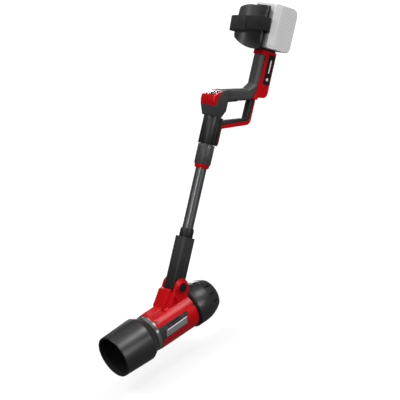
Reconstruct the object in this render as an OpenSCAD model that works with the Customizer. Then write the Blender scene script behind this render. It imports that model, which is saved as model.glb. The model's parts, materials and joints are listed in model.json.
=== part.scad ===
// Pole leaf blower: battery, arm cuff and D handle at the top of a telescopic pole,
// axial blower head on a tilting yoke at the bottom.
// Frame: +X is the way the air leaves the nozzle, +Y is the tool's left, +Z is up.
// The origin is the middle of the hand grip.

/* [Pole] */
// Lean of the pole from the vertical while the blower lies level, degrees
pole_lean = 37.3; // [30:0.1:45]
// Length of aluminium tube that shows between the two collars
tube_show = 166; // [140:1:190]
// Radius of the sliding tube
tube_r = 15; // [14.5:0.1:15]
// Wall of the sliding tube
tube_wall = 1.8; // [1.2:0.1:2.4]
// Top of the lower grip, measured up the pole from the tilt pivot
lower_grip_top = 133; // [120:1:140]
// Number of slits in the collet
collet_slits = 4; // [3:1:6]

/* [Blower head] */
// Distance from the tilt pivot down to the blower's axis
axis_drop = 81; // [81:0.5:84]
// Outer radius of the head casing
head_r = 53; // [52.5:0.5:53]
// Wall of the head casing
head_wall = 2.5; // [2:0.25:2.5]
// Radius of the nozzle's mouth, outside
mouth_r = 59; // [58:0.5:61]
// Where the nozzle ends, measured along the axis from the pivot
mouth_x = 254; // [230:1:270]
// Number of fan blades
fan_blades = 7; // [5:1:9]
// Number of guide vanes around the motor
guide_vane_count = 9; // [5:1:11]
// Number of slots round the intake
intake_slots = 14; // [8:1:18]

/* [Yoke] */
// Half distance between the outer faces of the two ears
ear_y = 29.5; // [29:0.5:30]
// Radius of the ears round the pivot
ear_r = 25; // [23:0.5:26]
// Radius of the pivot pin
pin_r = 6; // [5:0.5:6.5]

/* [Handle] */
// Half width of the hand grip
grip_hw = 16; // [15:0.5:17]
// Half width of the guard
guard_hw = 11; // [10:0.5:12]
// Half width of the forearm casing
arm_hw = 19; // [18:0.5:20]
// Wall of the handle casing
wall = 2.5; // [2:0.25:3]

/* [Arm cuff and battery] */
// Inside radius of the arm cuff
cuff_r = 59.4; // [58:0.2:60]
// Thickness of the arm cuff
cuff_t = 3; // [2.5:0.1:3]
// Width of the strap
strap_w = 38; // [30:1:40]
// Half width of the battery
battery_hw = 39; // [38:0.5:40]

/* [Hidden] */
$fn = 96;

// Colours
red = [0.78, 0.05, 0.09];
black = [0.16, 0.16, 0.17];
soft_black = [0.11, 0.11, 0.12];
tube_grey = [0.42, 0.43, 0.44];
pale_grey = [0.80, 0.80, 0.80];
steel = [0.70, 0.70, 0.72];
copper = [0.72, 0.45, 0.20];

// The pole frame has its origin on the tilt pivot, +Z up the pole and +X square to it.
// Points in it are written [f, s, p]. Handle parts are drawn for a tube_show of 166 and
// shift with it.
handle_shift = tube_show - 166;
grip_f = -65;
grip_p = 539 + handle_shift;
pivot_x = grip_p * sin(pole_lean) - grip_f * cos(pole_lean);
pivot_z = -grip_f * sin(pole_lean) - grip_p * cos(pole_lean);

module pole_frame() {
    translate([pivot_x, 0, pivot_z]) rotate([0, -pole_lean, 0]) children();
}

module handle_frame() {
    pole_frame() translate([0, 0, handle_shift]) children();
}

// The head frame has its origin on the tilt pivot and keeps the row's directions.
module head_frame() {
    translate([pivot_x, 0, pivot_z]) children();
}

// The blower frame has its origin on the blower's axis, under the pivot.
module blower_frame() {
    translate([pivot_x, 0, pivot_z - axis_drop]) children();
}

// An outline of [radius, distance along X] turned round the X axis.
module turned(outline) {
    rotate([0, 90, 0]) rotate_extrude() polygon(outline);
}

// A ring round the X axis from x0 to x1.
module ring_x(r_out, r_in, x0, x1) {
    turned([[r_in, x0], [r_out, x0], [r_out, x1], [r_in, x1]]);
}

// A ring round the pole from p0 to p1.
module ring_p(r_out, r_in, p0, p1) {
    translate([0, 0, p0]) rotate_extrude() translate([r_in, 0]) square([r_out - r_in, p1 - p0]);
}

// A round bar along Y from y0 to y1.
module bar_y(r, y0, y1) {
    translate([0, y1, 0]) rotate([90, 0, 0]) cylinder(r = r, h = y1 - y0);
}

// A side outline of [x, z] points made into a plate from y0 to y1.
module side_plate(outline, y0, y1) {
    translate([0, y1, 0]) rotate([90, 0, 0]) linear_extrude(y1 - y0) polygon(outline);
}

// A box from its lowest corner to its highest.
module box(low, high) {
    translate(low) cube(high - low);
}

// Points of an arc round c, angles in degrees.
function arc(c, r, a0, a1, n = 8) =
    [for (i = [0:n]) let (a = a0 + (a1 - a0) * i / n) [c[0] + r * cos(a), c[1] + r * sin(a)]];

// A rectangle with rounded corners, centred on the origin.
module rounded_rect(size, r) {
    square([size[0], size[1] - 2 * r], center = true);
    square([size[0] - 2 * r, size[1]], center = true);
    for (x = [-1, 1], y = [-1, 1])
        translate([x * (size[0] / 2 - r), y * (size[1] / 2 - r)]) circle(r);
}

// A cross-head screw that points down -Z, with the top of its head at z = 0.
module screw(r_head, h_head, r_shank, length) {
    difference() {
        union() {
            translate([0, 0, -h_head]) cylinder(r = r_head, h = h_head);
            translate([0, 0, -length]) cylinder(r = r_shank, h = length - h_head / 2);
        }
        for (a = [0, 90]) rotate(a) cube([r_head * 1.1, r_head * 0.28, h_head], center = true);
    }
}

// A compression spring as one closed bellows along Z, with a wall of w.
module bellows_spring(r, depth, w, length, turns) {
    n = 2 * turns;
    outside = [for (i = [0:n]) [r - depth * (i % 2), length * i / n]];
    inside = [for (i = [n:-1:0]) outside[i] - [w, 0]];
    rotate_extrude() polygon(concat(outside, inside));
}

// ---------------------------------------------------------------- head of the handle

// Side corners of the head of the handle, each [f, p, half width], for 3 mm round edges
head_points = [[21, 469, 19], [28, 494, 25], [31.5, 507, 25], [31, 518, 25],
    [6.5, 534.5, 25], [-16, 541, 25], [-16, 488, 25], [-10, 469, 19]];
head_floor = 508;
cap_tilt = 33.7;
cap_mid = [21, 0, 529];
pad_size = [22, 35];

module head_block(inset) {
    hull() for (q = head_points, side = [-1, 1])
        translate([q[0], side * q[2], q[1]]) sphere(r = 3 - inset, $fn = 16);
}

// The part of the head that the red cap takes up.
module cap_region() {
    side_plate([[60, 494], [22, 494], [17, 521], [9, 536.5], [12, 570], [60, 570]], -40, 40);
}

// The cap frame lies on the cap's sloping top.
module cap_frame() {
    translate(cap_mid) rotate([0, cap_tilt, 0]) children();
}

module head_housing() {
    color(black) handle_frame() difference() {
        head_block(0);
        cap_region();
        ring_p(17.5, 0, 460, head_floor + 4);
        intersection() {
            head_block(2.4);
            box([-40, -40, head_floor], [60, 40, 600]);
        }
    }
}

module control_cap() {
    color(red) handle_frame() difference() {
        intersection() {
            head_block(0);
            cap_region();
        }
        head_block(2.4);
        cap_frame() {
            box([-pad_size[0] / 2, -pad_size[1] / 2, -0.8], [pad_size[0] / 2, pad_size[1] / 2, 8]);
            cylinder(r = 6.6, h = 20, center = true);
        }
    }
}

module control_pad() {
    color(soft_black) handle_frame() cap_frame() difference() {
        box([0.2 - pad_size[0] / 2, 0.2 - pad_size[1] / 2, -0.8],
            [pad_size[0] / 2 - 0.2, pad_size[1] / 2 - 0.2, 0.1]);
        cylinder(r = 6.6, h = 20, center = true);
        for (y = [-14, -11, 11, 14]) translate([0, y, 0]) cylinder(r = 1, h = 4, center = true);
    }
}

module power_button() {
    color(black) handle_frame() cap_frame() {
        translate([0, 0, -4]) cylinder(r = 6.2, h = 5);
        translate([0, 0, -5.5]) cylinder(r = 3, h = 2);
    }
}

module control_board() {
    color([0.1, 0.35, 0.2]) handle_frame() cap_frame() {
        box([-10, -18, -10], [8, 18, -8.4]);
        for (y = [-12, 12]) translate([0, y, -8.5]) cylinder(r = 3, h = 3);
        box([-6, -5, -13], [4, 5, -9.9]);
    }
}

// ---------------------------------------------------------------- grip and casing

// The hand grip's top and bottom edges rise towards the back.
function grip_top(f) = 545.5 - (f + 19) * 0.243;
function grip_bottom(f) = 513 - (f + 25) * 0.258;

// Border between the black sleeve in front and the red casing behind, from the guard up
border = [[-109, 528], [-112, 538], [-116, 560], [-120, 607], [-122, 663]];
// Core of the casing that runs inside the sleeve, and the hollow in it
core = [[-19, 539], [-98, 558.5], [-110, 575], [-110, 663], [-122, 663], [-120, 607],
    [-116, 560], [-112, 542], [-19, 519]];
core_hollow = [[-10, 534], [-97, 555.4], [-112.6, 574], [-112.6, 660.5], [-130, 660.5],
    [-130, 549], [-10, 522]];
trigger_hinge = [-26, 524];

module trigger_pocket() {
    side_plate([[-21.5, 490], [-21.5, 531], [-72, 537], [-72, 490]], -10, 10);
}

module grip_sleeve() {
    r = 9;
    color(soft_black) handle_frame() difference() {
        union() {
            hull() for (f = [-11, -104], side = [-1, 1]) {
                translate([f, side * (grip_hw - r), grip_top(f) - r]) sphere(r = r, $fn = 18);
                translate([f, side * (grip_hw - r), grip_bottom(f) + r]) sphere(r = r, $fn = 18);
            }
            hull() for (side = [-1, 1]) {
                translate([-92, side * 6.5, grip_top(-92) - r - 0.4]) sphere(r = r, $fn = 18);
                translate([-112, side * 6.5, 549]) sphere(r = r, $fn = 18);
                translate([-115, side * 9.5, 578]) sphere(r = r, $fn = 18);
            }
            hull() for (p = [585, 680], side = [-1, 1])
                translate([-115, side * (arm_hw - r), p]) sphere(r = r, $fn = 18);
        }
        box([-19, -40, 480], [10, 40, 600]);
        side_plate(concat(border, [[-60, 663], [-60, 710], [-200, 710], [-200, 500], [-109, 500]]),
            -40, 40);
        side_plate(core, -12, 12);
        trigger_pocket();
    }
}

// Outlines of the red casing: forearm, its hollow, and the guard's outer strip
arm_casing = concat([for (i = [1:4]) border[i]], [[-106, 663], [-106, 676], [-158, 676]],
    arc([-142, 564], 16, 180, 270), [[-126.5, 545.5], [-126.5, 540]]);
arm_hollow = [[-125, 565], [-123, 607], [-124.6, 673.5], [-155.5, 673.5], [-155.5, 560],
    [-146, 551], [-128, 551]];
guard_strip = concat([[-24, 394], [-29.4, 394], [-29.4, 434]], arc([-35.4, 434], 6, 0, 66, 3),
    arc([-108.5, 482.7], 18, 252, 180), [[-126.5, 541], [-121.5, 540]],
    arc([-108.5, 489.5], 13, 180, 252), [[-24, 447]]);
label_at = [-143.5, 626.5];
label_size = [23, 83];
// Side positions of the casing screws, and the depth of their heads from the middle plane
casing_screws = [[-130, 562], [-150, 581], [-150, 660], [-121, 477]];
screw_seat = 6;

module label_outline(margin) {
    translate(label_at) rounded_rect(label_size + [margin, margin], 2.5);
}

// Half of the red casing on the side of +Y; the other half is its mirror image.
module casing_half() {
    difference() {
        union() {
            side_plate(arm_casing, 0, arm_hw);
            side_plate(core, 0, 12);
            side_plate(guard_strip, 0, guard_hw);
            box([-29.4, 0, 394], [-24, 13, 444]);
        }
        difference() {
            union() {
                side_plate(arm_hollow, -1, arm_hw - wall);
                side_plate(core_hollow, -1, 9.5);
            }
            for (s = casing_screws) translate([s[0], 0, s[1]]) bar_y(4.6, -2, arm_hw);
        }
        trigger_pocket();
        translate([trigger_hinge[0], 0, trigger_hinge[1]]) bar_y(1.5, -2, 12);
        translate([0, arm_hw + 4, 0]) rotate([90, 0, 0]) linear_extrude(5.2) label_outline(0.4);
        for (s = casing_screws) translate([s[0], 0, s[1]]) bar_y(1.5, -1, 8);
    }
}

module handle_shell_left() {
    color(red) handle_frame() casing_half();
}

module handle_shell_right() {
    color(red) handle_frame() difference() {
        mirror([0, 1, 0]) casing_half();
        for (s = casing_screws) translate([s[0], 0, s[1]]) bar_y(3.7, -30, -screw_seat);
        for (s = casing_screws) translate([s[0], 0, s[1]]) bar_y(1.6, -30, 1);
    }
}

module handle_screws() {
    color(steel) handle_frame() for (s = casing_screws)
        translate([s[0], -screw_seat - 2.4, s[1]]) rotate([90, 0, 0]) screw(3.4, 2.2, 1.4, 13);
}

module label_panels() {
    color(black) handle_frame() for (side = [-1, 1])
        translate([0, side * (arm_hw - 0.45) + 0.75, 0]) rotate([90, 0, 0])
            linear_extrude(1.5) label_outline(0);
}

module guard_liner() {
    outline = concat([[-24, 447]], arc([-108.5, 489.5], 13, 252, 180), [[-121.5, 537.5],
        [-112, 537.5], [-109, 528]], arc([-104, 486], 5, 180, 285, 4), [[-24, 459]]);
    color(soft_black) handle_frame() side_plate(outline, 1 - guard_hw, guard_hw - 1);
}

module fore_grip() {
    color(soft_black) handle_frame() difference() {
        translate([-2.5, 0, 390]) linear_extrude(76) difference() {
            rounded_rect([52, 46], 20);
            for (a = [-120:15:120]) translate([25.9 * cos(a), 22.9 * sin(a)]) circle(1.4, $fn = 24);
        }
        ring_p(17.5, 0, 380, 480);
        box([-40, -13, 394], [-24, 13, 444]);
        side_plate(guard_strip, -guard_hw, guard_hw);
        box([-40, -guard_hw, 440], [-24, guard_hw, 462]);
    }
}

module outer_tube() {
    color(tube_grey) handle_frame() ring_p(17.4, 16.2, 352, 506);
}

module collet() {
    color(black) handle_frame() difference() {
        ring_p(18, tube_r + 0.08, 338, 351.9);
        for (i = [0:collet_slits - 1]) rotate(45 + 360 * i / collet_slits)
            box([5, -0.8, 337], [30, 0.8, 346]);
    }
}

// ---------------------------------------------------------------- arm cuff and spine

cuff_f = -26.1;
cuff_front = -54.4;
spine_back = -95.8;
strap_p = 735;
strap_tilt = 5;

module cuff_frame() {
    handle_frame() translate([cuff_f, 0, 0]) children();
}

// Outline of the cuff seen from the front, [s, p]: round bottom, rounded top corners
cuff_outline = concat(
    [for (s = [-56:4:56]) [s, 673 + 45 * (1 - pow(1 - pow(abs(s) / 57, 2.6), 1 / 2.6))]],
    arc([30, 767], 26, 0, 90), arc([-30, 767], 26, 90, 180));

module arm_cuff() {
    color(black) difference() {
        cuff_frame() intersection() {
            difference() {
                ring_p(cuff_r + cuff_t, cuff_r, 660, 800);
                box([cuff_front - cuff_f, -80, 650], [100, 80, 810]);
            }
            rotate([90, 0, -90]) linear_extrude(200) mirror([1, 0]) polygon(cuff_outline);
        }
        handle_frame() for (p = [694, 776]) translate([-70, 0, p]) rotate([0, -90, 0])
            cylinder(r = 2.1, h = 30);
    }
}

module cuff_screws() {
    color(steel) handle_frame() for (p = [694, 776])
        translate([cuff_f - cuff_r + 2.2, 0, p]) rotate([0, 90, 0]) screw(4, 2, 2, 11);
}

// Plan of the strap, grown outwards by t.
module strap_plan(t) {
    hull() {
        for (s = [-1.8, 1.8]) intersection() {
            translate([cuff_f, s]) circle(cuff_r + cuff_t + 0.4 + t);
            translate([-162, -60]) square([100, 120]);
        }
        translate([-66, 50]) circle(12.3 + t);
        translate([-49, -50]) circle(10.5 + t);
        translate([-50, 44]) circle(10.5 + t);
    }
}

module cuff_strap() {
    color(soft_black) handle_frame() translate([0, 0, strap_p]) rotate([strap_tilt, 0, 0])
        translate([0, 0, -strap_w / 2]) linear_extrude(strap_w) difference() {
            strap_plan(2.5);
            strap_plan(0);
        }
}

module spine() {
    color(black) handle_frame() difference() {
        union() {
            box([spine_back, -22, 676], [-82, 22, 796]);
            box([-154, -17, 676], [spine_back, 17, 680.5]);
            // T rail for the battery
            box([-99.5, -14, 686], [spine_back + 0.1, 14, 790]);
            box([-103.4, -20, 686], [-99.4, 20, 790]);
        }
        translate([cuff_f, 0, 0]) ring_p(cuff_r + cuff_t, 0, 660, 810);
        // Slot behind the cuff for the strap
        box([-92.6, -40, strap_p - strap_w / 2 - 4], [-60, 40, strap_p + strap_w / 2 + 4]);
        for (p = [694, 776]) translate([-70, 0, p]) rotate([0, -90, 0]) cylinder(r = 2, h = 24.7);
    }
}

// ---------------------------------------------------------------- battery

battery_f = [-184, -97];
battery_p = [682, 805];
blade_s = [-14, -5, 5, 14];
button_f = -138;

module battery_terminals() {
    color(steel) handle_frame() for (s = blade_s)
        box([-130, s - 0.5, 680.5], [-118, s + 0.5, 693]);
}

module battery_case() {
    mid = (battery_f[0] + battery_f[1]) / 2;
    color(pale_grey) handle_frame() difference() {
        translate([mid, 0, battery_p[0]]) linear_extrude(battery_p[1] - battery_p[0])
            rounded_rect([battery_f[1] - battery_f[0], 2 * battery_hw], 9);
        difference() {
            translate([mid - 3.7, 0, battery_p[0] + 3]) linear_extrude(117)
                rounded_rect([73.5, 2 * battery_hw - 6], 5);
            box([button_f - 15, -14, 797], [button_f + 15, 14, 810]);
        }
        // Channel for the rail
        box([-99, -14.6, 600], [-90, 14.6, 791]);
        box([-104, -20.6, 600], [-98.9, 20.6, 791]);
        // Slots for the terminals
        for (s = blade_s) box([-131.5, s - 1.3, 600], [-116.5, s + 1.3, 690]);
        translate([button_f, 0, 799.5]) linear_extrude(20) rounded_rect([26, 24], 4);
    }
}

module battery_cells() {
    color([0.25, 0.45, 0.65]) handle_frame() for (f = [-119, -140, -161], p = [707:20:787])
        translate([f, 0, p]) bar_y(9, -32.5, 32.5);
}

module battery_button() {
    color(pale_grey) handle_frame() translate([button_f, 0, 803]) linear_extrude(3.4)
        rounded_rect([25.2, 23.2], 3.6);
}

// ---------------------------------------------------------------- trigger

module trigger_pin() {
    color(steel) handle_frame() translate([trigger_hinge[0], 0, trigger_hinge[1]])
        bar_y(1.5, -11.9, 11.9);
}

module trigger() {
    color(soft_black) handle_frame() difference() {
        side_plate(concat([[-23, 528]], arc([-26, 513.5], 3, 0, -75, 3), arc([-46, 561], 43, -97,
            -118, 4), arc([-66, 527], 3, -110, -180, 3), [[-69, 529], [-66, 529]]), -9, 9);
        translate([trigger_hinge[0], 0, trigger_hinge[1]]) bar_y(1.56, -10, 10);
    }
}

module trigger_switch() {
    color(black) handle_frame() {
        box([-58, -9.45, 537.6], [-38, 9.45, 540.6]);
        translate([-48, 0, 533.4]) cylinder(r = 2, h = 5);
    }
}

module trigger_spring() {
    color(steel) handle_frame() translate([-64, 0, 529.2]) bellows_spring(4, 1.2, 0.9, 13, 5);
}

// ---------------------------------------------------------------- telescope

module lock_sleeve() {
    color(black) handle_frame() difference() {
        translate([0, 0, 335]) linear_extrude(53.5) difference() {
            circle(22.8);
            for (i = [0:35]) rotate(10 * i) translate([23.2, 0]) circle(0.9, $fn = 16);
        }
        ring_p(17.75, 0, 300, 400);
        ring_p(18.4, 0, 300, 352.2);
    }
}

module lock_ring() {
    color(red) handle_frame() rotate_extrude()
        polygon([[15.4, 324], [18.6, 324], [19.6, 325.5], [21.2, 335], [15.4, 335]]);
}

module lower_tube() {
    color(tube_grey) pole_frame() translate([0, 0, 60]) linear_extrude(338 + handle_shift)
        difference() {
            circle(tube_r);
            circle(tube_r - tube_wall);
            for (a = [20:45:335]) rotate(a) translate([tube_r + 0.5, 0]) circle(1.1, $fn = 16);
        }
}

module lower_collar() {
    color(black) pole_frame() translate([0, 0, lower_grip_top]) rotate_extrude()
        polygon([[tube_r, 0], [18.6, 0], [18.6, 19], [16.6, 25], [tube_r, 25]]);
}

module lower_grip() {
    color(soft_black) pole_frame() difference() {
        translate([1, 0, -11]) linear_extrude(lower_grip_top + 11) difference() {
            rounded_rect([42, 40], 7);
            for (y = [-12:6:12], side = [-1, 1]) {
                translate([side * 22, y]) circle(1.7, $fn = 24);
                translate([y, side * 21]) circle(1.7, $fn = 24);
            }
        }
        box([-14, -12, -12], [14, 12, 60]);
        ring_p(tube_r, 0, 59.9, 200);
        bar_y(pin_r + 0.3, -30, 30);
    }
}

module pivot_block() {
    color(steel) pole_frame() difference() {
        union() {
            box([-14, -12, 0], [14, 12, 60]);
            bar_y(14, -12, 12);
        }
        box([-20, -20, -30], [20, 20, -9]);
        bar_y(pin_r + 0.06, -30, 30);
        ring_p(8, 0, 12, 61);
    }
}

module guide_bush() {
    color(black) handle_frame() ring_p(16.1, tube_r, 382, 398);
}

module coiled_lead() {
    color([0.05, 0.05, 0.05]) pole_frame() ring_p(6.5, 2, 62, 396 + handle_shift);
}

// ---------------------------------------------------------------- blower head

head_back = -12;
head_front = 121;
duct_r = 41;
inner_r = head_r - head_wall;
mouth_bore = mouth_r - 4.4;
web_top = [36, 7];
web_foot = [74, -31];
// Side outline of the dark panel, measured from the blower's axis
panel = [[head_front + 1, 24], [14, 24], [16, 8], [29, -5], [65, -11.5], [head_front + 1, -18.5]];
trim_strip = [[27, 9.2], [99, 7.2], [99, 9.2], [27, 11.4]];
// Casing screws: distance along the axis, and angle up from the side
head_screws = [[114.5, 45], [114.5, -45], [-8, 30], [-8, -35], [114.5, 135], [114.5, 225],
    [-8, 150], [-8, 215]];

// An ear with its gusset, seen from the side, from the pivot.
module ear_plate(y0, y1) {
    outline = concat(arc([0, 0], ear_r, 45, 180, 14),
        [[-24, -12], [-18, -25.5], [head_back, -26], [head_back, -45], [66, -45], [56, -31]]);
    side_plate(outline, y0, y1);
}

module at_head_screws() {
    for (s = head_screws) translate([s[0], 0, 0]) rotate([s[1] - 90, 0, 0]) children();
}

module head_half() {
    difference() {
        union() {
            blower_frame() ring_x(head_r, inner_r - 1, head_back, head_front);
            head_frame() ear_plate(21.4, ear_y);
            head_frame() side_plate([web_top, web_foot, [72, -45], [44, -45], [44, -33],
                [27, 6]], 0, 21.5);
        }
        blower_frame() ring_x(inner_r, 0, head_back - 1, head_front + 1);
        box([-900, -200, -900], [900, 0, 900]);
        blower_frame() intersection() {
            ring_x(head_r + 3, head_r - 2.1, head_back, head_front + 2);
            side_plate(panel, 20, 80);
        }
        blower_frame() at_head_screws() {
            translate([0, 0, head_r - 1.6]) cylinder(r = 3.7, h = 12);
            cylinder(r = 1.6, h = 80);
        }
        head_frame() bar_y(pin_r + 0.02, -1, 60);
    }
}

module head_shell_left() {
    color(red) difference() {
        union() {
            head_half();
            head_frame() difference() {
                bar_y(15.6, ear_y - 1, 35.5);
                bar_y(pin_r + 0.02, 0, 60);
            }
        }
        head_frame() bar_y(12.3, 25.5, 60);
    }
}

module head_shell_right() {
    color(red) mirror([0, 1, 0]) head_half();
}

module duct() {
    color(black) blower_frame() difference() {
        union() {
            ring_x(duct_r + 2.5, duct_r, -20, head_front - 1);
            ring_x(inner_r - 0.05, duct_r + 2, -12, -5);
            ring_x(inner_r - 0.05, duct_r + 2, 110, 119);
        }
        at_head_screws() cylinder(r = 1.5, h = 80);
    }
}

module side_panels() {
    color([0.09, 0.09, 0.10]) blower_frame() for (side = [0, 1]) mirror([0, side, 0])
        difference() {
            intersection() {
                ring_x(head_r + 0.3, head_r - 2, 10, head_front);
                side_plate([for (q = panel) [q[0] + 0.4, q[1]]], 20, 80);
            }
            for (z = [12:2:20]) box([40, 20, z - 0.35], [98, 70, z + 0.35]);
        }
}

module panel_trims() {
    color(steel) blower_frame() for (side = [0, 1]) mirror([0, side, 0]) intersection() {
        ring_x(head_r + 1, head_r + 0.3, 18, head_front);
        side_plate(trim_strip, 20, 80);
    }
}

module outlet_collar() {
    color([0.2, 0.2, 0.21]) blower_frame() difference() {
        union() {
            turned([[duct_r, head_front - 1], [duct_r + 8, head_front - 1],
                [duct_r + 8, head_front], [head_r - 1, head_front],
                [head_r - 1, head_front + 2], [50.4, 133.4], [duct_r, 133.4]]);
            ring_x(44, duct_r + 0.2, 133, 146);
            for (side = [0, 180]) rotate([side, 0, 0]) intersection() {
                ring_x(45.9, 43, 140, 143);
                box([139, -6, 0], [144, 6, 60]);
            }
        }
        ring_x(50, 42.9, 135.4, 138.1);
    }
}

module nozzle_seal() {
    color([0.05, 0.05, 0.05]) blower_frame() ring_x(44.25, 42.9, 135.5, 138);
}

module nozzle() {
    color(black) blower_frame() difference() {
        turned(concat([[44.6, 134.2], [50, 134.2]], arc([53.5, 156], 9, -60, 0, 5),
            [[mouth_r, mouth_x - 2], [mouth_r - 1.5, mouth_x], [mouth_bore, mouth_x],
            [mouth_bore, mouth_x - 14], [57.6, 158], [44.6, 147.5]]));
        ring_x(46.3, 44, 139.4, 143.6);
        for (side = [0, 180]) rotate([side + 30, 0, 0]) box([130, -7, 40], [141, 7, 46.2]);
    }
}

module intake_ring() {
    color([0.07, 0.07, 0.07]) blower_frame()
        turned([[43.6, -18], [57, -18], [57, -14], [55.5, head_back], [43.6, head_back]]);
}

module intake_cap() {
    outer = [[58, -18.1], [58, -48], [56.4, -62], [52.4, -76], [46.5, -90], [41.5, -98], [38, -100.5]];
    inner = [[33, -100.5], [33, -97.5], [38.6, -95.5], [43.6, -88], [49.4, -74.5], [53.4, -61],
        [55, -47.5], [55, -18.1]];
    color(black) blower_frame() {
        difference() {
            turned(concat(outer, inner));
            for (i = [0:intake_slots - 1]) rotate([360 * (i + 0.5) / intake_slots, 0, 0])
                box([-84, -2.4, 40], [-67, 2.4, 70]);
        }
        // Rear grille: rings and spokes
        for (r = [10, 18, 26]) ring_x(r + 1.3, r - 1.3, -100.3, -97.3);
        ring_x(5, 0, -100.3, -97.3);
        for (a = [0:45:315]) rotate([a, 0, 0]) box([-100, -1.2, 4], [-97.5, 1.2, 34]);
    }
}

module motor_can() {
    color(steel) blower_frame()
        turned([[8, 22], [20, 22], [20, 72], [8, 72], [8, 66], [18.5, 66], [18.5, 28], [8, 28]]);
}

module guide_vanes() {
    color(black) blower_frame() intersection() {
        ring_x(duct_r - 0.02, 20.02, 28, 66);
        for (i = [0:guide_vane_count - 1]) rotate([360 * i / guide_vane_count, 0, 0])
            rotate([0, 0, 12]) box([25, -10.9, 15], [70, -8.9, 60]);
    }
}

module stator() {
    color(copper) blower_frame() ring_x(18.5, 11.2, 34, 62);
}

module bearings() {
    color(steel) blower_frame() for (x = [22, 66]) ring_x(8, 4.06, x, x + 6);
}

module tail_cone() {
    color(black) blower_frame() turned([[9, 72], [20, 72], [17.5, 88], [11, 104], [5, 112], [2, 112],
        [3.4, 110], [9, 102], [15.3, 87], [17.6, 74], [9, 74]]);
}

module blower_screws() {
    color(steel) blower_frame() at_head_screws()
        translate([0, 0, head_r - 0.4]) rotate(20) screw(3.4, 1.2, 1.5, 8.6);
}

module pivot_pin() {
    color(steel) head_frame() {
        bar_y(pin_r, -ear_y, 25.2);
        bar_y(11, -ear_y - 3, -ear_y);
    }
}

module pivot_washers() {
    color([0.85, 0.85, 0.82]) head_frame() for (side = [-1, 1])
        difference() {
            translate([0, side * 20.75, 0]) bar_y(12, -0.55, 0.55);
            bar_y(pin_r + 0.02, -40, 40);
        }
}

module tilt_spring() {
    color(steel) head_frame() translate([0, 25.7, 0]) rotate([-90, 0, 0])
        bellows_spring(9, 2, 1, 5.3, 2);
}

module tilt_button() {
    color(black) head_frame() {
        bar_y(11.9, 31.3, 37.2);
        bar_y(10.4, 37.1, 38);
    }
}

// ---------------------------------------------------------------- rotor

module fan() {
    color([0.22, 0.22, 0.23]) blower_frame() {
        turned([[4.02, -6], [9, -6], [15, 0], [16, 16], [4.02, 16]]);
        intersection() {
            ring_x(40.2, 14, -6, 18);
            for (i = [0:fan_blades - 1]) rotate([360 * i / fan_blades, 0, 0])
                rotate([0, 0, 48]) box([-20, -1.1, 10], [30, 1.1, 60]);
        }
    }
}

module fan_nut() {
    color(steel) blower_frame() rotate([0, 90, 0]) translate([0, 0, -11]) difference() {
        cylinder(r = 6.5, h = 5, $fn = 6);
        translate([0, 0, -1]) cylinder(r = 4, h = 8);
    }
}

module motor_shaft() {
    color(steel) blower_frame() ring_x(4, 0, -12.5, 74.5);
}

module rotor_magnet() {
    color([0.35, 0.35, 0.37]) blower_frame() ring_x(10.6, 4, 35, 61);
}

head_housing();
control_cap();
control_pad();
control_board();
grip_sleeve();
handle_shell_left();
handle_shell_right();
guard_liner();
fore_grip();
outer_tube();
collet();
label_panels();
spine();
battery_terminals();
arm_cuff();
cuff_strap();
cuff_screws();
handle_screws();
trigger_pin();
trigger_switch();
trigger_spring();
trigger();
power_button();
lock_sleeve();
lock_ring();
lower_tube();
lower_collar();
lower_grip();
pivot_block();
guide_bush();
coiled_lead();
head_shell_left();
head_shell_right();
duct();
outlet_collar();
nozzle_seal();
side_panels();
panel_trims();
intake_ring();
intake_cap();
motor_can();
guide_vanes();
stator();
bearings();
tail_cone();
blower_screws();
pivot_pin();
pivot_washers();
tilt_spring();
tilt_button();
fan();
fan_nut();
motor_shaft();
rotor_magnet();
nozzle();
battery_case();
battery_cells();
battery_button();
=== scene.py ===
"""The looks of a battery pole leaf blower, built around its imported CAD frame.

Outlines are in millimetres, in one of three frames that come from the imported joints:
POLE has its origin on the tilt pivot, with [f, s, p] square to the pole, sideways and up it;
HEAD has the same origin and the row's own directions; BLOWER is on the blower's axis.
"""

import json
import math

import bmesh
import bpy
from mathutils import Matrix, Vector
from mathutils.geometry import convex_hull_2d


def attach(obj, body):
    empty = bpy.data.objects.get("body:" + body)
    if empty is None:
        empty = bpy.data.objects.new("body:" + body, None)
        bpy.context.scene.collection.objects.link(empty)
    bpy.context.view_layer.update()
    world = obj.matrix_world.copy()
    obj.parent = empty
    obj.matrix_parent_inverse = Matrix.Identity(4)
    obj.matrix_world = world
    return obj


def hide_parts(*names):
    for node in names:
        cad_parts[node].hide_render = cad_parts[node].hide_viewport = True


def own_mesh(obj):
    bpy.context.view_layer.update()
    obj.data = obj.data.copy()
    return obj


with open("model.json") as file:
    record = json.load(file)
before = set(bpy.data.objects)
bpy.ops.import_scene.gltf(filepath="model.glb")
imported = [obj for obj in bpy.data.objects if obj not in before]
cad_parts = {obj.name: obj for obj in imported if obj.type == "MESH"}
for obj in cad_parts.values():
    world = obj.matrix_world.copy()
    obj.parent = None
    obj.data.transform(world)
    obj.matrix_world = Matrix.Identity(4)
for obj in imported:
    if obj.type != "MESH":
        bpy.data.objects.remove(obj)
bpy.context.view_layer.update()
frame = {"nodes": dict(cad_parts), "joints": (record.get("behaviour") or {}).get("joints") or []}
nodes = frame["nodes"]
joints = {joint["name"]: joint for joint in frame["joints"]}

# ---------------------------------------------------------------- frames

MM = 0.001
pivot = Vector(joints["head_tilt"]["pos_m"])
axis_point = Vector(joints["fan_spin"]["pos_m"])
up_pole = -Vector(joints["telescope"]["axis"])
sideways = Vector((0, 1, 0))
ahead = sideways.cross(up_pole)
lean = math.atan2(-up_pole.x, up_pole.z)


def placed(x, y, z, origin):
    """Matrix from a frame in millimetres to the row frame in metres."""
    turn = Matrix((x, y, z)).transposed().to_4x4()
    return Matrix.Translation(origin) @ turn @ Matrix.Scale(MM, 4)


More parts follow.
